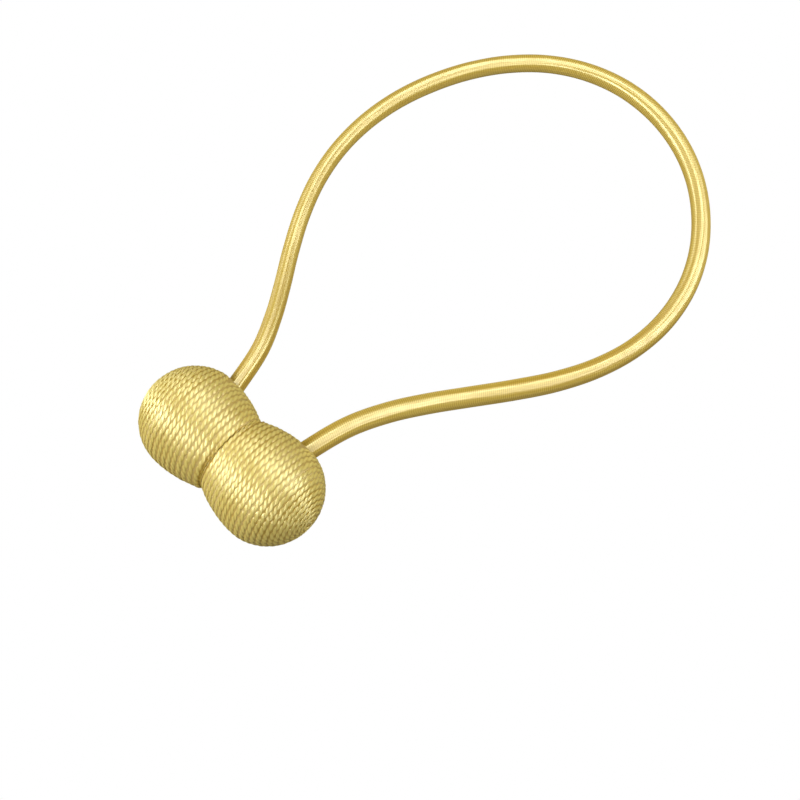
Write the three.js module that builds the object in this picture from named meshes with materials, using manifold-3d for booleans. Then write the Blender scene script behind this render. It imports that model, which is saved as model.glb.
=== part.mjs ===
// Magnetic curtain tieback: two thread-wound balls, held face to face by magnets inside them,
// and one thread-covered cord that leaves one ball, makes a drop-shaped loop and ends in the other.
// Millimetres, +Z up. The origin is on the surface under the place where the balls meet.
// +X runs from the first ball to the second, and +Y towards the loop.

import * as THREE from 'three';
import * as BufferGeometryUtils from 'three/addons/utils/BufferGeometryUtils.js';
import Module from 'manifold-3d';

const wasm = await Module();
wasm.setup();

// Ball: round about the line through both balls, with its widest ring over the spot that it rests on.
// It bulges towards the other ball and ends in a broad flat face there. The magnets have snapped
// together a little off centre, so the balls stand slightly aside of each other.
const ballRadius = 17.5;
const poleReach = 16.9;
const faceReach = 16.7;
const faceRadius = 13.6;
const faceRimRadius = 1.4;
const faceGap = 0.3;
const dimpleRadius = 2.4;
const dimpleDepth = 1.2;
const ballHeight = 16.8;
const leftBallShift = -0.4;
const rightBallShift = 0.6;
const ballSides = 72;
const profileSteps = 14;
const rimSteps = 3;
const dimpleSteps = 3;

// Cord: the route of its middle line, from the bottom of the hole in the first ball to the bottom of
// the hole in the second. It leaves each ball level, comes down in a soft curve and lies on the surface.
const cordRadius = 3.3;
const cordSides = 12;
const cordSteps = 48;
const holeRadius = 3.8;
const holeEndGap = 0.3;
const holeLength = 12;
const holeSides = 32;
const cordRoute = [
  { x: -14.9, y: 12.5, z: 16.8 },
  { x: -15.9, y: 17.0, z: 16.8 },
  { x: -20.0, y: 30.6, z: 15.1 },
  { x: -26.9, y: 42.6, z: 11.2 },
  { x: -34.9, y: 53.8, z: 6.8 },
  { x: -43.2, y: 65.2, z: 3.8 },
  { x: -50.6, y: 77.5, z: 3.3 },
  { x: -56.5, y: 90.7, z: 3.3 },
  { x: -60.1, y: 104.7, z: 3.3 },
  { x: -61.1, y: 119.0, z: 3.3 },
  { x: -59.5, y: 133.4, z: 3.3 },
  { x: -55.5, y: 147.2, z: 3.3 },
  { x: -49.5, y: 160.3, z: 3.3 },
  { x: -41.4, y: 172.2, z: 3.3 },
  { x: -31.1, y: 182.3, z: 3.3 },
  { x: -18.7, y: 189.6, z: 3.3 },
  { x: -4.8, y: 193.5, z: 3.3 },
  { x: 9.5, y: 193.6, z: 3.3 },
  { x: 23.5, y: 190.1, z: 3.3 },
  { x: 36.2, y: 183.4, z: 3.3 },
  { x: 47.1, y: 173.9, z: 3.3 },
  { x: 55.7, y: 162.4, z: 3.3 },
  { x: 61.5, y: 149.2, z: 3.3 },
  { x: 64.0, y: 135.0, z: 3.3 },
  { x: 63.1, y: 120.7, z: 3.3 },
  { x: 59.1, y: 106.8, z: 3.3 },
  { x: 52.8, y: 93.9, z: 3.3 },
  { x: 44.9, y: 81.8, z: 3.3 },
  { x: 36.6, y: 70.0, z: 3.8 },
  { x: 29.3, y: 58.0, z: 6.8 },
  { x: 23.3, y: 45.6, z: 11.2 },
  { x: 18.7, y: 32.5, z: 15.1 },
  { x: 15.8, y: 18.5, z: 16.8 },
  { x: 14.8, y: 12.9, z: 16.8 },
];

// The block that takes off what a ball would have under the surface that it rests on.
const restCutSize = 60;

// Corners closer than this are one corner.
const sameCorner = 1e-4;

const threadGold = new THREE.MeshStandardMaterial({ color: 0xd9b85c, roughness: 0.45, metalness: 0 });
const cordGold = new THREE.MeshStandardMaterial({ color: 0xe3c565, roughness: 0.4, metalness: 0 });

// A closed three.js geometry as a solid for cutting.
function solidOf(geometry) {
  const bare = geometry.clone();
  bare.deleteAttribute('normal');
  bare.deleteAttribute('uv');
  const merged = BufferGeometryUtils.mergeVertices(bare, sameCorner);
  return new wasm.Manifold(new wasm.Mesh({
    numProp: 3,
    vertProperties: new Float32Array(merged.attributes.position.array),
    triVerts: new Uint32Array(merged.index.array),
  }));
}

// The solid back as a three.js geometry.
function geometryOf(solid) {
  const mesh = solid.getMesh();
  const geometry = new THREE.BufferGeometry();
  geometry.setAttribute('position', new THREE.BufferAttribute(new Float32Array(mesh.vertProperties), 3));
  geometry.setIndex(new THREE.BufferAttribute(new Uint32Array(mesh.triVerts), 1));
  geometry.computeVertexNormals();
  return geometry;
}

// Half section of a ball, from the middle of its face to its pole. The curve's x is the distance from
// the winding axis and its y is the place along it, with the ball's widest ring at y = 0.
function ballProfile() {
  const faceY = -faceReach + faceGap / 2;
  const points = [new THREE.Vector2(0, faceY)];

  // Behind the widest ring the section is an ellipse, cut off by the face with a rounded rim.
  const ellipseReach = faceReach / Math.sqrt(1 - (faceRadius / ballRadius) ** 2);
  const ringAt = (y) => ballRadius * Math.sqrt(1 - (y / ellipseReach) ** 2);
  const rimY = faceY + faceRimRadius;
  const rimX = ringAt(rimY) - faceRimRadius;
  for (let i = 0; i < rimSteps; i += 1) {
    const angle = (Math.PI / 2) * (i / rimSteps);
    points.push(new THREE.Vector2(
      rimX + faceRimRadius * Math.sin(angle),
      rimY - faceRimRadius * Math.cos(angle),
    ));
  }
  for (let i = 0; i < profileSteps; i += 1) {
    const y = rimY * (1 - i / profileSteps);
    points.push(new THREE.Vector2(ringAt(y), y));
  }

  // In front of it the section is an ellipse that ends at the edge of the dimple.
  const dimpleAngle = Math.asin(dimpleRadius / ballRadius);
  for (let i = 0; i <= profileSteps; i += 1) {
    const angle = Math.PI / 2 + (dimpleAngle - Math.PI / 2) * (i / profileSteps);
    points.push(new THREE.Vector2(ballRadius * Math.sin(angle), poleReach * Math.cos(angle)));
  }

  // The dimple is where the last turns of the winding close.
  const dimpleEdge = poleReach * Math.cos(dimpleAngle);
  for (let i = 1; i <= dimpleSteps; i += 1) {
    const part = i / dimpleSteps;
    points.push(new THREE.Vector2(dimpleRadius * (1 - part), dimpleEdge - dimpleDepth * part ** 2));
  }
  return points;
}

// The hole that takes the cord's end: it runs out of the ball along the cord's first or last stretch.
function cordHole(end, next) {
  const direction = next.clone().sub(end).normalize();
  const hole = new THREE.CylinderGeometry(holeRadius, holeRadius, holeLength, holeSides);
  hole.applyQuaternion(new THREE.Quaternion().setFromUnitVectors(new THREE.Vector3(0, 1, 0), direction));
  const middle = end.clone().addScaledVector(direction, holeLength / 2 - holeEndGap);
  hole.translate(middle.x, middle.y, middle.z);
  return solidOf(hole);
}

// One wound ball in its place: side is -1 for the first ball and 1 for the second.
function woundBall(name, side, shift, cordEnd, cordNext) {
  const turned = new THREE.LatheGeometry(ballProfile(), ballSides);
  turned.rotateZ(-side * Math.PI / 2);
  turned.translate(side * faceReach, shift, ballHeight);

  const underSurface = new THREE.BoxGeometry(restCutSize, restCutSize, restCutSize);
  underSurface.translate(side * faceReach, 0, -restCutSize / 2);

  const solid = solidOf(turned)
    .subtract(solidOf(underSurface))
    .subtract(cordHole(cordEnd, cordNext));
  const ball = new THREE.Mesh(geometryOf(solid), threadGold);
  ball.name = name;
  return ball;
}

// The cord as one closed tube along its route.
function loopCord(route) {
  const corners = [];
  for (let i = 0; i < cordSides; i += 1) {
    const angle = (i + 0.5) * (2 * Math.PI / cordSides);
    corners.push(new THREE.Vector2(cordRadius * Math.cos(angle), cordRadius * Math.sin(angle)));
  }
  const section = new THREE.Shape(corners);
  const tube = new THREE.ExtrudeGeometry(section, {
    steps: cordSteps,
    bevelEnabled: false,
    extrudePath: new THREE.CatmullRomCurve3(route),
  });
  const cord = new THREE.Mesh(tube, cordGold);
  cord.name = 'loop_cord';
  return cord;
}

const route = cordRoute.map((point) => new THREE.Vector3(point.x, point.y, point.z));
const last = route.length - 1;

const tieback = new THREE.Group();
tieback.add(woundBall('ball_left', -1, leftBallShift, route[0], route[1]));
tieback.add(woundBall('ball_right', 1, rightBallShift, route[last], route[last - 1]));
tieback.add(loopCord(route));

export default tieback;
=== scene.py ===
# Magnetic curtain tieback: two thread-wound balls, held face to face by magnets inside them, and
# one thread-covered cord that leaves one ball, makes a drop-shaped loop and ends in the other.
# Metres, +Z up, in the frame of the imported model: +X runs from the left ball to the right one.

import math

import bpy
import numpy as np
from mathutils import Matrix, Vector


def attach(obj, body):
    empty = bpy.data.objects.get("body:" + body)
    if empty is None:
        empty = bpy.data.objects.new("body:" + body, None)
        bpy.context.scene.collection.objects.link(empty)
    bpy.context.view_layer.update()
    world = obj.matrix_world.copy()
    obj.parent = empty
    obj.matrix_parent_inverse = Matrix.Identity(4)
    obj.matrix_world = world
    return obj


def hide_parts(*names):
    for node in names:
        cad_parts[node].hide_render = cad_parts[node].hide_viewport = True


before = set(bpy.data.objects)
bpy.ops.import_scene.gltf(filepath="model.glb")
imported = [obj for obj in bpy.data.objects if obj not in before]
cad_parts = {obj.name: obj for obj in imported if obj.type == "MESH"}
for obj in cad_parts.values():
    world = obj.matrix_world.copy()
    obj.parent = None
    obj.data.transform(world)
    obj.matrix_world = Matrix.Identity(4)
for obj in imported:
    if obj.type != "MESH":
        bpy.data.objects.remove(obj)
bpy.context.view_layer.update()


# Camera
# It stands high over the table and is turned, so that the line through both balls runs down
# to the right of the picture and the loop opens to the upper right.
camera_turn = math.radians(44.7)
camera_rise = math.radians(70.2)
camera_distance = 0.400
camera_lens = 58.0
camera_sensor = 36.0
nearest_seen = 0.01
farthest_seen = 20.0
# The place between the balls, and the pixel of the picture that it shows at.
picture_side = 800
meeting_point = Vector((0.0, 0.0, 0.0168))
meeting_across = 231.5
meeting_down = 455.2

to_right = Vector((math.cos(camera_turn), math.sin(camera_turn), 0.0))
to_camera = Vector((
    math.sin(camera_turn) * math.cos(camera_rise),
    -math.cos(camera_turn) * math.cos(camera_rise),
    math.sin(camera_rise),
))
to_top = to_camera.cross(to_right)
pixel = camera_distance * camera_sensor / (camera_lens * picture_side)
camera_place = (
    meeting_point
    + to_camera * camera_distance
    - to_right * (meeting_across - picture_side / 2) * pixel
    - to_top * (picture_side / 2 - meeting_down) * pixel
)

camera_data = bpy.data.cameras.new("camera")
camera_data.lens = camera_lens
camera_data.sensor_width = camera_sensor
camera_data.clip_start = nearest_seen
camera_data.clip_end = farthest_seen
camera = bpy.data.objects.new("camera", camera_data)
camera_turned = Matrix((to_right, to_top, to_camera)).transposed().to_4x4()
camera.matrix_world = Matrix.Translation(camera_place) @ camera_turned
bpy.context.scene.collection.objects.link(camera)
bpy.context.scene.camera = camera


# Cord
# A soft core under a satin cover: fine thread wound tightly across it, in several starts side by
# side. The cover wrinkles lengthwise, most near the balls, where the ends are glued in, and where the
# loop turns back to the second ball. Between the balls the cord lies on the table in a loose loop.
cord_diameter = 0.0066
# The route of its middle line. A program traced these points in the picture, an even step apart, and
# laid them back on the table. Only the first and the last weren't made that way.
cord_route = [
    (-0.0149, 0.0125, 0.0168),
    (-0.0159, 0.0170, 0.0168),
    (-0.0200, 0.0306, 0.0151),
    (-0.0269, 0.0426, 0.0112),
    (-0.0349, 0.0538, 0.0068),
    (-0.0432, 0.0652, 0.0038),
    (-0.0506, 0.0775, 0.0033),
    (-0.0565, 0.0907, 0.0033),
    (-0.0601, 0.1047, 0.0033),
    (-0.0611, 0.1190, 0.0033),
    (-0.0595, 0.1334, 0.0033),
    (-0.0555, 0.1472, 0.0033),
    (-0.0495, 0.1603, 0.0033),
    (-0.0414, 0.1722, 0.0033),
    (-0.0311, 0.1823, 0.0033),
    (-0.0187, 0.1896, 0.0033),
    (-0.0048, 0.1935, 0.0033),
    (0.0095, 0.1936, 0.0033),
    (0.0235, 0.1901, 0.0033),
    (0.0362, 0.1834, 0.0033),
    (0.0471, 0.1739, 0.0033),
    (0.0557, 0.1624, 0.0033),
    (0.0615, 0.1492, 0.0033),
    (0.0640, 0.1350, 0.0033),
    (0.0631, 0.1207, 0.0033),
    (0.0591, 0.1068, 0.0033),
    (0.0528, 0.0939, 0.0033),
    (0.0449, 0.0818, 0.0033),
    (0.0366, 0.0700, 0.0038),
    (0.0293, 0.0580, 0.0068),
    (0.0233, 0.0456, 0.0112),
    (0.0187, 0.0325, 0.0151),
    (0.0158, 0.0185, 0.0168),
    (0.0148, 0.0129, 0.0168),
]
# Parts of the way from end to end, how wide the cord is there, seen from above, and how strongly
# its cover is wrinkled there. The widths follow a program's measurements in the picture.
cord_places = [0.00, 0.08, 0.16, 0.24, 0.32, 0.42, 0.50, 0.58, 0.66, 0.74, 0.82, 0.90, 1.00]
widths = [
    0.0062, 0.0059, 0.0058, 0.0059, 0.0065, 0.0063, 0.0067,
    0.0065, 0.0067, 0.0068, 0.0072, 0.0070, 0.0068,
]
wrinkled = [1.0, 0.7, 0.3, 0.4, 0.6, 0.3, 0.2, 0.2, 0.4, 1.0, 0.7, 0.3, 0.9]
wrinkle_depth = 0.00026
wrinkle_count = 7
wrinkle_turn = 2.0
rib_pitch = 0.00068
rib_height = 0.00004
rib_starts = 5
rings_per_rib = 4
cord_sides = 28
fine_per_step = 4


def smooth_line(points, spacing):
    """A smooth line through the points, as points an even step apart, and how far along each is."""
    knots = np.array(points)
    gaps = np.linalg.norm(np.diff(knots, axis=0), axis=1)
    reached = np.concatenate([[0.0], np.cumsum(gaps)])
    slopes = np.gradient(knots, reached, axis=0)
    fine = np.linspace(0.0, reached[-1], int(fine_per_step * reached[-1] / spacing))
    first = np.clip(np.searchsorted(reached, fine, side="right") - 1, 0, len(gaps) - 1)
    gap = gaps[first][:, None]
    part = (fine - reached[first])[:, None] / gap
    line = (
        (1 + 2 * part) * (1 - part) ** 2 * knots[first]
        + part * (1 - part) ** 2 * gap * slopes[first]
        + part ** 2 * (3 - 2 * part) * knots[first + 1]
        - part ** 2 * (1 - part) * gap * slopes[first + 1]
    )
    return even_steps(line, spacing)


def even_steps(line, spacing):
    """The same line with its points an even step apart, and how far along each is."""
    reached = np.concatenate([[0.0], np.cumsum(np.linalg.norm(np.diff(line, axis=0), axis=1))])
    along = np.linspace(0.0, reached[-1], int(round(reached[-1] / spacing)) + 1)
    return np.stack([np.interp(along, reached, line[:, i]) for i in range(3)], axis=1), along


def unit(vectors):
    """The vectors, each made one long."""
    return vectors / np.linalg.norm(vectors, axis=-1, keepdims=True)


def tube_piece(name, rings, along, turned, crest, material):
    """A closed tube through rings of points. Its map holds how far along the tube each ring is, in
    metres, and how far round it each point is, in whole turns that start and end at the rings' first
    point. Crest says how far each point stands out from the valleys of the thread, from 0 to 1; the
    material paints shade where it is low."""
    count, sides = rings.shape[:2]
    here = np.arange(count - 1)[:, None] * sides + np.arange(sides)
    beside = np.arange(count - 1)[:, None] * sides + (np.arange(sides) + 1) % sides
    quads = np.stack([here, here + sides, beside + sides, beside], axis=-1).reshape(-1, 4)
    first_cap = np.arange(sides)
    last_cap = (count - 1) * sides + np.arange(sides)[::-1]
    corners = np.concatenate([quads.ravel(), first_cap, last_cap])
    starts = np.concatenate([np.arange(len(quads)) * 4, [len(quads) * 4, len(quads) * 4 + sides]])

    mesh = bpy.data.meshes.new(name)
    mesh.vertices.add(count * sides)
    mesh.vertices.foreach_set("co", rings.astype(np.float32).ravel())
    mesh.loops.add(len(corners))
    mesh.loops.foreach_set("vertex_index", corners.astype(np.int32))
    mesh.polygons.add(len(starts))
    mesh.polygons.foreach_set("loop_start", starts.astype(np.int32))
    mesh.polygons.foreach_set("use_smooth", np.ones(len(starts), bool))
    mesh.update(calc_edges=True)

    along_map = np.broadcast_to(along[:, None], turned.shape)
    flat = np.stack([along_map, turned], axis=-1)
    quad_map = np.stack([flat[:-1, :-1], flat[1:, :-1], flat[1:, 1:], flat[:-1, 1:]], axis=2)
    corner_map = np.concatenate([quad_map.reshape(-1, 2), flat[0, :-1], flat[-1, :-1][::-1]])
    mesh.uv_layers.new(name="thread_map")
    mesh.uv_layers["thread_map"].uv.foreach_set("vector", corner_map.astype(np.float32).ravel())
    stands_out = mesh.attributes.new("crest", "FLOAT", "POINT")
    stands_out.data.foreach_set("value", crest.astype(np.float32).ravel())
    mesh.materials.append(material)

    piece = bpy.data.objects.new(name, mesh)
    bpy.context.scene.collection.objects.link(piece)
    return piece


# Silky thread, for the cord and the balls alike: pale on the crests and deep gold in the valleys, as
# painted shade, with filaments that run along the thread and slow changes of tone from place to place.
silk = bpy.data.node_groups.new("silky_thread", "ShaderNodeTree")
for label, kind, start in (
    ("Thread map", "NodeSocketVector", None),
    ("Crest", "NodeSocketFloat", 1.0),
    ("Pale", "NodeSocketColor", (0.8, 0.6, 0.2, 1.0)),
    ("Valley shade", "NodeSocketColor", (0.4, 0.2, 0.02, 1.0)),
    ("Filaments along", "NodeSocketFloat", 60.0),
    ("Filaments around", "NodeSocketFloat", 8.0),
    ("Patches", "NodeSocketFloat", 150.0),
    ("Unevenness", "NodeSocketFloat", 0.1),
    ("Gloss", "NodeSocketFloat", 0.3),
):
    socket = silk.interface.new_socket(label, in_out="INPUT", socket_type=kind)
    if start is not None:
        socket.default_value = start
silk.interface.new_socket("Colour", in_out="OUTPUT", socket_type="NodeSocketColor")
silk.interface.new_socket("Roughness", in_out="OUTPUT", socket_type="NodeSocketFloat")
silk.interface.new_socket("Filament height", in_out="OUTPUT", socket_type="NodeSocketFloat")


def put(tree, kind, **settings):
    """A new node in the tree, with its own settings."""
    node = tree.nodes.new(kind)
    for name, value in settings.items():
        setattr(node, name, value)
    return node


silk_in = put(silk, "NodeGroupInput")
silk_out = put(silk, "NodeGroupOutput")

# The filaments: noise on the thread's map, stretched along the thread.
stretch = put(silk, "ShaderNodeCombineXYZ")
silk.links.new(silk_in.outputs["Filaments along"], stretch.inputs["X"])
silk.links.new(silk_in.outputs["Filaments around"], stretch.inputs["Y"])
stretched = put(silk, "ShaderNodeVectorMath", operation="MULTIPLY")
silk.links.new(silk_in.outputs["Thread map"], stretched.inputs[0])
silk.links.new(stretch.outputs["Vector"], stretched.inputs[1])
filaments = put(silk, "ShaderNodeTexNoise", noise_dimensions="2D")
filaments.inputs["Scale"].default_value = 1.0
filaments.inputs["Detail"].default_value = 2.0
silk.links.new(stretched.outputs["Vector"], filaments.inputs["Vector"])

# The patches: slow noise in the piece's own space.
places = put(silk, "ShaderNodeTexCoord")
patches = put(silk, "ShaderNodeTexNoise")
patches.inputs["Detail"].default_value = 2.0
silk.links.new(places.outputs["Object"], patches.inputs["Vector"])
silk.links.new(silk_in.outputs["Patches"], patches.inputs["Scale"])

# Each noise averages a half, so that their sum less one averages nothing. It shifts the mix between the
# pale colour and the painted valley shade, and the gloss with it.
unevenness = put(silk, "ShaderNodeMath", operation="ADD")
silk.links.new(filaments.outputs["Fac"], unevenness.inputs[0])
silk.links.new(patches.outputs["Fac"], unevenness.inputs[1])
centred = put(silk, "ShaderNodeMath", operation="SUBTRACT")
centred.inputs[1].default_value = 1.0
silk.links.new(unevenness.outputs["Value"], centred.inputs[0])
tone_shift = put(silk, "ShaderNodeMath", operation="MULTIPLY")
silk.links.new(centred.outputs["Value"], tone_shift.inputs[0])
silk.links.new(silk_in.outputs["Unevenness"], tone_shift.inputs[1])
tone = put(silk, "ShaderNodeMath", operation="ADD", use_clamp=True)
silk.links.new(silk_in.outputs["Crest"], tone.inputs[0])
silk.links.new(tone_shift.outputs["Value"], tone.inputs[1])
# The painted shade: the valley shade colour where the crest mask is low, the pale colour where it is
# high.
thread_colour = put(silk, "ShaderNodeMix", data_type="RGBA")
silk.links.new(tone.outputs["Value"], thread_colour.inputs["Factor"])
silk.links.new(silk_in.outputs["Valley shade"], thread_colour.inputs["A"])
silk.links.new(silk_in.outputs["Pale"], thread_colour.inputs["B"])
silk.links.new(thread_colour.outputs["Result"], silk_out.inputs["Colour"])

shine = put(silk, "ShaderNodeMath", operation="SUBTRACT", use_clamp=True)
silk.links.new(silk_in.outputs["Gloss"], shine.inputs[0])
silk.links.new(tone_shift.outputs["Value"], shine.inputs[1])
silk.links.new(shine.outputs["Value"], silk_out.inputs["Roughness"])
silk.links.new(filaments.outputs["Fac"], silk_out.inputs["Filament height"])


# What all the threads have alike.
tone_unevenness = 0.25
bump_strength = 0.6
quarter_turn = 0.25
sheen_weight = 0.1
sheen_roughness = 0.4
sheen_tint = (1.0, 0.9, 0.6, 1.0)


def thread_material(
        name, pale, valley_shade, gleam, strength, gloss, drawn_out, across, along, around, bump_distance):
    """A material of silky thread with its pale colour, its painted valley shade and its shine: gleam is
    the colour of the shine and strength how strong it is, as an IOR. The fine filaments draw each gleam
    out, by drawn_out, along the map's first way or, with across, square to it. Along and around say how
    many changes of tone and height there are in each metre of the map and in each turn round it."""
    material = bpy.data.materials.new(name)
    material.use_nodes = True
    tree = material.node_tree
    tree.nodes.clear()
    output = put(tree, "ShaderNodeOutputMaterial")
    surface = put(tree, "ShaderNodeBsdfPrincipled")
    thread = put(tree, "ShaderNodeGroup", node_tree=silk)
    thread_map = put(tree, "ShaderNodeUVMap", uv_map="thread_map")
    thread_way = put(tree, "ShaderNodeTangent", direction_type="UV_MAP", uv_map="thread_map")
    crest = put(tree, "ShaderNodeAttribute", attribute_name="crest")
    bump = put(tree, "ShaderNodeBump")
    thread.inputs["Pale"].default_value = (*pale, 1.0)
    thread.inputs["Valley shade"].default_value = (*valley_shade, 1.0)
    thread.inputs["Gloss"].default_value = gloss
    thread.inputs["Filaments along"].default_value = along
    thread.inputs["Filaments around"].default_value = around
    thread.inputs["Unevenness"].default_value = tone_unevenness
    bump.inputs["Distance"].default_value = bump_distance
    bump.inputs["Strength"].default_value = bump_strength
    surface.inputs["IOR"].default_value = strength
    surface.inputs["Specular Tint"].default_value = (*gleam, 1.0)
    surface.inputs["Anisotropic"].default_value = drawn_out
    surface.inputs["Anisotropic Rotation"].default_value = quarter_turn if across else 0.0
    surface.inputs["Sheen Weight"].default_value = sheen_weight
    surface.inputs["Sheen Roughness"].default_value = sheen_roughness
    surface.inputs["Sheen Tint"].default_value = sheen_tint
    tree.links.new(thread_map.outputs["UV"], thread.inputs["Thread map"])
    tree.links.new(crest.outputs["Fac"], thread.inputs["Crest"])
    tree.links.new(thread_way.outputs["Tangent"], surface.inputs["Tangent"])
    tree.links.new(thread.outputs["Colour"], surface.inputs["Base Color"])
    tree.links.new(thread.outputs["Roughness"], surface.inputs["Roughness"])
    tree.links.new(thread.outputs["Filament height"], bump.inputs["Height"])
    tree.links.new(bump.outputs["Normal"], surface.inputs["Normal"])
    tree.links.new(surface.outputs["BSDF"], output.inputs["Surface"])
    return material


cord_line, cord_along = smooth_line(cord_route, rib_pitch / rings_per_rib)
cord_way = unit(np.gradient(cord_line, axis=0))
cord_side = unit(np.cross(cord_way, [0.0, 0.0, 1.0]))
cord_top = np.cross(cord_side, cord_way)
part_along = (cord_along / cord_along[-1])[:, None]

# The cord is a little oval: its height lies halfway between its width there and its diameter.
half_width = np.interp(part_along, cord_places, widths) / 2
half_height = (half_width + cord_diameter / 2) / 2

# Each ring starts at the bottom. The ribs and the wrinkles sink into it, and the table holds it up.
around = np.arange(cord_sides) * 2 * math.pi / cord_sides - math.pi / 2
rib = np.cos(2 * math.pi * cord_along[:, None] / rib_pitch - rib_starts * around)
wrinkle = np.cos(wrinkle_count * around + wrinkle_turn * part_along)
wrinkle_valley = np.interp(part_along, cord_places, wrinkled) * (1 - wrinkle) / 2
sunk = rib_height * (1 - rib) / 2 + wrinkle_depth * wrinkle_valley
across = (half_width - sunk) * np.cos(around)
upward = (half_height - sunk) * np.sin(around)
# Painted shade: the cord's colour darkens in the grooves between its ribs and in its wrinkles' valleys.
cord_crest = (1 + rib) / 2 * (1 - wrinkle_valley)
cord_rings = (
    cord_line[:, None, :]
    + across[..., None] * cord_side[:, None, :]
    + upward[..., None] * cord_top[:, None, :]
)
cord_rings[..., 2] = np.maximum(cord_rings[..., 2], 0.0)

# Its darker valley colour is painted shade in the ribs' grooves and the wrinkles.
cord_silk = thread_material(
    "cord_silk", pale=(0.97, 0.76, 0.17), valley_shade=(0.54, 0.31, 0.015), gleam=(1.0, 0.97, 0.62), strength=3.8,
    gloss=0.40, drawn_out=0.85, across=False, along=20.0, around=16.0, bump_distance=0.00025)
cord_turned = np.broadcast_to(np.arange(cord_sides + 1) / cord_sides, (len(cord_line), cord_sides + 1))
cord = tube_piece("loop_cord_cover", cord_rings, cord_along, cord_turned, cord_crest, cord_silk)
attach(cord, "root")
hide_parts("loop_cord")


# Balls
# Each ball is a hard core, wound with one soft two-ply twisted thread that runs round and round it
# from the flat face to the far end. The rows part where the cord comes out between them.
ball_radius = 0.0175
pole_reach = 0.0169
face_reach = 0.0167
face_radius = 0.0136
rim_radius = 0.0014
dimple_radius = 0.0024
dimple_depth = 0.0009
ball_height = 0.0168
winding_turn = math.radians(3.7)
# How many points each stretch of the ball's half section has.
face_points = 40
rim_points = 20
back_points = 80
front_points = 120
dimple_points = 20
# The thread: two plies, each pressed flat, and where each has its points, closer on its outside.
ply_radius = 0.00058
ply_offset = 0.00028
thread_flatness = 0.32
lay = 0.0051
steps_per_lay = 16
ply_angles = np.radians([180, 102, 70, 45, 22, 0, -22, -45, -70, -102, -180])
# Its rows, and how much they wander, rise, twist and swell. A new value comes every so many steps.
winding_points = 8000
row_step_at_face = 0.00192
row_step_at_pole = 0.00168
first_row = 0.0015
last_row = 0.0009
row_wander = 0.00013
thread_rise = 0.00004
twist_wander = 1.2
ply_swell = 0.09
unevenness_every = 60
rise_every = unevenness_every // 2
swell_every = unevenness_every // 3
section_step = 0.00005
thread_height = thread_flatness * (ply_radius + ply_offset)
# The thread takes its painted valley shade below the first of these parts of its height, and its pale
# colour above the second.
valley_shade_under = -0.1
pale_over = 0.8
# How far from the cord its rows are pushed aside: along them, as so many times its opening, and across
# them. They are squeezed narrower there too.
push_along_rows = 1.45
push_across_rows = 0.016
mouth_squeeze = 0.22
# The rows underneath, and the hole that takes the cord's end.
bed_depth = 0.00023
bed_sides = 120
bed_step = 0.0006
bed_over_table = bed_depth / 4
hole_radius = 0.0038
hole_depth = 0.012
hole_end_gap = 0.0003
hole_sides = 48


def ball_section():
    """Half section of a ball, from the middle of its face to the bottom of its dimple: how far each
    point is from the ball's own line, and how far it is from the widest ring towards the far end."""
    face_place = -face_reach
    back_reach = face_reach / math.sqrt(1 - (face_radius / ball_radius) ** 2)
    rim_place = face_place + rim_radius
    rim_out = ball_radius * math.sqrt(1 - (rim_place / back_reach) ** 2) - rim_radius
    turn = np.linspace(0.0, math.pi / 2, rim_points)
    face_out = np.linspace(0.0, rim_out, face_points, endpoint=False)
    back_place = np.linspace(rim_place, 0.0, back_points)[1:]
    front_turn = np.linspace(math.pi / 2, math.asin(dimple_radius / ball_radius), front_points)[1:]
    dimple_part = np.linspace(0.0, 1.0, dimple_points)[1:]
    edge_place = pole_reach * math.cos(front_turn[-1])
    out = np.concatenate([
        face_out,
        rim_out + rim_radius * np.sin(turn),
        ball_radius * np.sqrt(1 - (back_place / back_reach) ** 2),
        ball_radius * np.sin(front_turn),
        dimple_radius * (1 - dimple_part),
    ])
    place = np.concatenate([
        np.full(len(face_out), face_place),
        rim_place - rim_radius * np.cos(turn),
        back_place,
        pole_reach * np.cos(front_turn),
        edge_place - dimple_depth * dimple_part ** 2,
    ])
    return out, place


def section_inside(depth, spacing):
    """The section moved in by a depth, in even steps: out, place, how far along each point is, and
    the parts of its outward direction."""
    out, place = ball_section()
    line, _ = even_steps(np.stack([out, place, 0 * out], axis=1), spacing)
    way = unit(np.gradient(line, axis=0))
    line[:, 0] -= depth * way[:, 1]
    line[:, 1] += depth * way[:, 0]
    line, along = even_steps(line[line[:, 0] > 0], spacing)
    way = unit(np.gradient(line, axis=0))
    return line[:, 0], line[:, 1], along, way[:, 1], -way[:, 0]


def slow_change(random, count, every):
    """Random values between -1 and 1 that change smoothly, with a new one every so many steps."""
    knots = random.uniform(-1, 1, count // every + 3)
    place = np.arange(count) / every
    before = place.astype(int)
    part = place - before
    ease = part * part * (3 - 2 * part)
    return knots[before] * (1 - ease) + knots[before + 1] * ease


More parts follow.
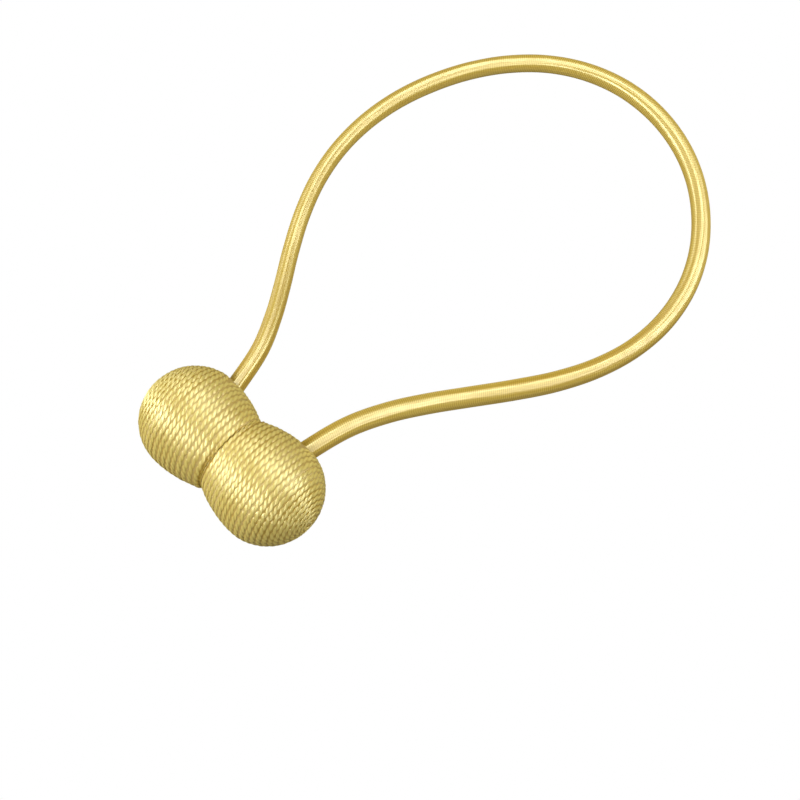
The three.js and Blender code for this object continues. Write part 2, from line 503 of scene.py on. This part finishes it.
def wound_thread(name, side, shift, mouth, seed, silk_material):
    """The two plies of one ball's thread."""
    random = np.random.default_rng(seed)
    centre = np.array([side * face_reach, shift, ball_height])
    out, place, section_along, normal_out, normal_place = section_inside(thread_height, section_step)
    polar = np.arctan2(out, place)
    cos_turn, sin_turn = math.cos(winding_turn), math.sin(winding_turn)

    # Where the cord comes out, on the ball and in the turned winding.
    mouth_from_centre = np.array(mouth) - centre
    mouth_turn = math.atan2(mouth_from_centre[2], mouth_from_centre[1])
    mouth_polar = math.atan2(math.hypot(*mouth_from_centre[1:]), side * mouth_from_centre[0])
    mouth_along = np.interp(mouth_polar, polar[::-1], section_along[::-1])
    mouth_x = cos_turn * mouth_from_centre[0] + sin_turn * mouth_from_centre[1]
    mouth_y = cos_turn * mouth_from_centre[1] - sin_turn * mouth_from_centre[0]
    wound_mouth_turn = math.atan2(mouth_from_centre[2], mouth_y)
    wound_mouth_polar = math.atan2(math.hypot(mouth_y, mouth_from_centre[2]), side * mouth_x)
    wound_mouth_along = np.interp(wound_mouth_polar, polar[::-1], section_along[::-1])

    # The thread's middle line in the winding: one turn for each row, in steps of even length. At says
    # how far along the ball's section each place is.
    at = np.linspace(section_along[0] + first_row, section_along[-1] - last_row, winding_points)
    row_step = np.interp(at, [face_radius, section_along[-1]], [row_step_at_face, row_step_at_pole])
    rows = np.concatenate([[0.0], np.cumsum(np.diff(at) / row_step[1:])])
    turned = -2 * math.pi * (rows - np.interp(wound_mouth_along, at, rows)) + math.pi
    radius = np.interp(at, section_along, out)
    reached = np.concatenate([[0.0], np.cumsum(np.hypot(np.diff(at), radius[1:] * np.diff(turned)))])
    length = np.arange(0.0, reached[-1], lay / steps_per_lay)
    at = np.interp(length, reached, at)
    at = at + row_wander * slow_change(random, len(at), unevenness_every)
    angle = wound_mouth_turn + np.interp(length, reached, turned)
    radius = np.interp(at, section_along, out)

    # The winding's axis is turned a little from the ball's own.
    x = side * np.interp(at, section_along, place)
    y = radius * np.cos(angle)
    z = radius * np.sin(angle)
    x, y = cos_turn * x - sin_turn * y, sin_turn * x + cos_turn * y
    at = np.interp(np.arctan2(np.hypot(y, z), side * x), polar[::-1], section_along[::-1])
    angle = np.arctan2(z, y)

    # Rows part round the cord.
    from_mouth = (angle - mouth_turn + math.pi) % (2 * math.pi) - math.pi
    beside_mouth = np.interp(at, section_along, out) * from_mouth
    rows_off = at - mouth_along
    opening = cord_diameter / 2 + ply_radius + ply_offset
    near_mouth = np.exp(-(beside_mouth / (push_along_rows * opening)) ** 2)
    push = opening * near_mouth * np.clip(1 - np.abs(rows_off) / push_across_rows, 0, 1)
    at = at + np.sign(rows_off) * push
    squeeze = 1 - mouth_squeeze * push / opening

    radius = np.interp(at, section_along, out)
    around_axis = np.stack([0 * angle, np.cos(angle), np.sin(angle)], axis=1)
    axis = np.array([side, 0.0, 0.0])
    normal = (
        axis * np.interp(at, section_along, normal_place)[:, None]
        + around_axis * np.interp(at, section_along, normal_out)[:, None]
    )
    line = centre + axis * np.interp(at, section_along, place)[:, None] + around_axis * radius[:, None]
    line = line + thread_rise * slow_change(random, len(at), rise_every)[:, None] * normal
    way = unit(np.gradient(line, axis=0))
    normal = unit(normal - way * np.sum(normal * way, axis=1, keepdims=True))
    across_rows = np.cross(way, normal)

    # The two plies, turned about each other.
    twist_change = twist_wander * slow_change(random, len(at), rise_every)
    for number in range(2):
        twist = (-2 * math.pi * length / lay + twist_change + number * math.pi)[:, None]
        ply_size = ply_radius * (1 + ply_swell * slow_change(random, len(at), swell_every))[:, None]
        points = twist + ply_angles[:-1]
        height = thread_flatness * (ply_offset * np.cos(twist) + ply_size * np.cos(points))
        beside = squeeze[:, None] * (ply_offset * np.sin(twist) + ply_size * np.sin(points))
        rings = (
            line[:, None, :]
            + height[..., None] * normal[:, None, :]
            + beside[..., None] * across_rows[:, None, :]
        )
        rings[..., 2] = np.maximum(rings[..., 2], 0.0)
        # Painted shade: low in the valleys between the plies and the rows, high on their crests.
        crest = np.clip((height / thread_height - valley_shade_under) / (pale_over - valley_shade_under), 0, 1)
        filament_turn = (1 + ply_offset / ply_radius) * twist
        filaments = (filament_turn + ply_angles) / (2 * math.pi)
        ply = tube_piece(f"{name}_ply_{number + 1}", rings, length, filaments, crest, silk_material)
        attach(ply, "root")


def wound_bed(name, node, side, shift, mouth, inner, bed_material):
    """The rows underneath, which show only as specks between the outer ones, with the cord's hole.
    Their darker colour is painted shade.
    """
    out, place, _, _, _ = section_inside(bed_depth, bed_step)
    out, place = out[::-1], place[::-1]
    angle = np.arange(bed_sides) * 2 * math.pi / bed_sides * side
    rings = np.stack([
        np.broadcast_to(side * (face_reach + place[:, None]), (len(out), bed_sides)),
        shift + out[:, None] * np.cos(angle),
        ball_height + out[:, None] * np.sin(angle),
    ], axis=-1)
    rings[..., 2] = np.maximum(rings[..., 2], bed_over_table)
    turned = np.broadcast_to(np.arange(bed_sides + 1) / bed_sides, (len(out), bed_sides + 1))
    along = bed_step * np.arange(len(out))
    bed = tube_piece(name, rings, along, turned, np.zeros(rings.shape[:2]), bed_material)

    hole_way = (Vector(mouth) - Vector(inner)).normalized()
    hole_middle = Vector(inner) + hole_way * (hole_depth / 2 - hole_end_gap)
    hole_turned = hole_way.to_track_quat("Z", "Y").to_matrix().to_4x4()
    bpy.ops.mesh.primitive_cylinder_add(vertices=hole_sides, radius=hole_radius, depth=hole_depth)
    hole = bpy.context.object
    hole.matrix_world = Matrix.Translation(hole_middle) @ hole_turned
    hole.data.materials.append(bed_material)
    cut = bed.modifiers.new("cord_hole", "BOOLEAN")
    cut.object = hole
    cut.solver = "EXACT"
    bpy.context.view_layer.objects.active = bed
    bpy.ops.object.modifier_apply(modifier=cut.name)
    bpy.data.objects.remove(hole)
    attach(bed, "root")
    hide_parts(node)


# The darker colour in the thread's valleys is painted shade.
ball_silk = thread_material(
    "ball_silk", pale=(0.92, 0.74, 0.20), valley_shade=(0.44, 0.24, 0.004), gleam=(1.0, 0.95, 0.56), strength=4.2,
    gloss=0.44, drawn_out=0.93, across=True, along=300.0, around=4.0, bump_distance=0.00003)
# The rows underneath take the thread's colour darkened all over: painted shade between the outer rows.
shaded_bed_silk = thread_material(
    "shaded_bed_silk", pale=(0.54, 0.34, 0.03), valley_shade=(0.46, 0.28, 0.02), gleam=(1.0, 0.97, 0.62), strength=3.0,
    gloss=0.5, drawn_out=0.85, across=True, along=300.0, around=60.0, bump_distance=0.00003)
for name, side, shift, mouth, inner, seed in (
    ("ball_left", -1, -0.0004, cord_route[1], cord_route[0], 19),
    ("ball_right", 1, 0.0006, cord_route[-2], cord_route[-1], 21),
):
    wound_bed(f"{name}_bed", name, side, shift, mouth, inner, shaded_bed_silk)
    wound_thread(name, side, shift, mouth, seed, ball_silk)


# Table top
# A plain pale surface that the tieback lies on. The camera sees it as pure white, as in the picture,
# and only a little warm light comes back from it.
table_half = 3.0
table_gap = 0.0001
white = (1.0, 1.0, 1.0, 1.0)
table_warmth = (0.22, 0.20, 0.14, 1.0)

table_corners = [
    (-table_half, -table_half, 0),
    (table_half, -table_half, 0),
    (table_half, table_half, 0),
    (-table_half, table_half, 0),
]
table_mesh = bpy.data.meshes.new("table_top")
table_mesh.from_pydata(table_corners, [], [(0, 1, 2, 3)])
table = bpy.data.objects.new("table_top", table_mesh)
table.location.z = -table_gap
bpy.context.scene.collection.objects.link(table)
pale = bpy.data.materials.new("pale_table")
pale.use_nodes = True
pale_tree = pale.node_tree
pale_tree.nodes.clear()
pale_output = put(pale_tree, "ShaderNodeOutputMaterial")
bright = put(pale_tree, "ShaderNodeEmission")
bright.inputs["Color"].default_value = white
bright.inputs["Strength"].default_value = 1.0
dull = put(pale_tree, "ShaderNodeBsdfDiffuse")
dull.inputs["Color"].default_value = table_warmth
seen_by = put(pale_tree, "ShaderNodeLightPath")
as_seen = put(pale_tree, "ShaderNodeMixShader")
pale_tree.links.new(seen_by.outputs["Is Camera Ray"], as_seen.inputs["Fac"])
pale_tree.links.new(dull.outputs["BSDF"], as_seen.inputs[1])
pale_tree.links.new(bright.outputs["Emission"], as_seen.inputs[2])
pale_tree.links.new(as_seen.outputs["Shader"], pale_output.inputs["Surface"])
table_mesh.materials.append(pale)


# Light
# A soft lamp on each side, as round a light tent: low ones at the picture's left and right, and high
# ones towards its top and bottom.
lamp_distance = 0.9
lamps_aim = Vector((0.0, 0.08, 0.0))


def soft_lamp(name, turn, rise, width, height, power):
    """A lamp that shines at the tieback. Turn is the way to it over the table, from the picture's right
    towards its top, and rise is how high it stands, both in degrees. Power is in watts."""
    lamp_data = bpy.data.lights.new(name, "AREA")
    lamp_data.shape = "RECTANGLE"
    lamp_data.size = width
    lamp_data.size_y = height
    lamp_data.energy = power
    lamp = bpy.data.objects.new(name, lamp_data)
    over_table = camera_turn + math.radians(turn)
    away = Vector((
        math.cos(over_table) * math.cos(math.radians(rise)),
        math.sin(over_table) * math.cos(math.radians(rise)),
        math.sin(math.radians(rise)),
    ))
    lamp.location = lamps_aim + away * lamp_distance
    lamp.rotation_mode = "QUATERNION"
    lamp.rotation_quaternion = away.to_track_quat("Z", "Y")
    bpy.context.scene.collection.objects.link(lamp)


for name, turn, rise, width, height, power in (
    ("left_lamp", 180, 25, 0.5, 0.4, 5.0),
    ("right_lamp", 0, 35, 0.4, 0.6, 4.3),
    ("bottom_lamp", 240, 50, 0.5, 0.4, 3.0),
    ("top_lamp", 75, 70, 0.5, 0.6, 4.0),
):
    soft_lamp(name, turn, rise, width, height, power)

# The room gives a little light of its own, and is seen as white as the table.
room_light = 0.02
sky = bpy.data.worlds.new("sky")
sky.use_nodes = True
room = sky.node_tree.nodes["Background"]
room.inputs["Color"].default_value = white
room_seen_by = put(sky.node_tree, "ShaderNodeLightPath")
room_strength = put(sky.node_tree, "ShaderNodeMath", operation="MULTIPLY_ADD")
room_strength.inputs[1].default_value = 1.0 - room_light
room_strength.inputs[2].default_value = room_light
sky.node_tree.links.new(room_seen_by.outputs["Is Camera Ray"], room_strength.inputs[0])
sky.node_tree.links.new(room_strength.outputs["Value"], room.inputs["Strength"])
bpy.context.scene.world = sky
bpy.context.scene.view_settings.view_transform = "Standard"
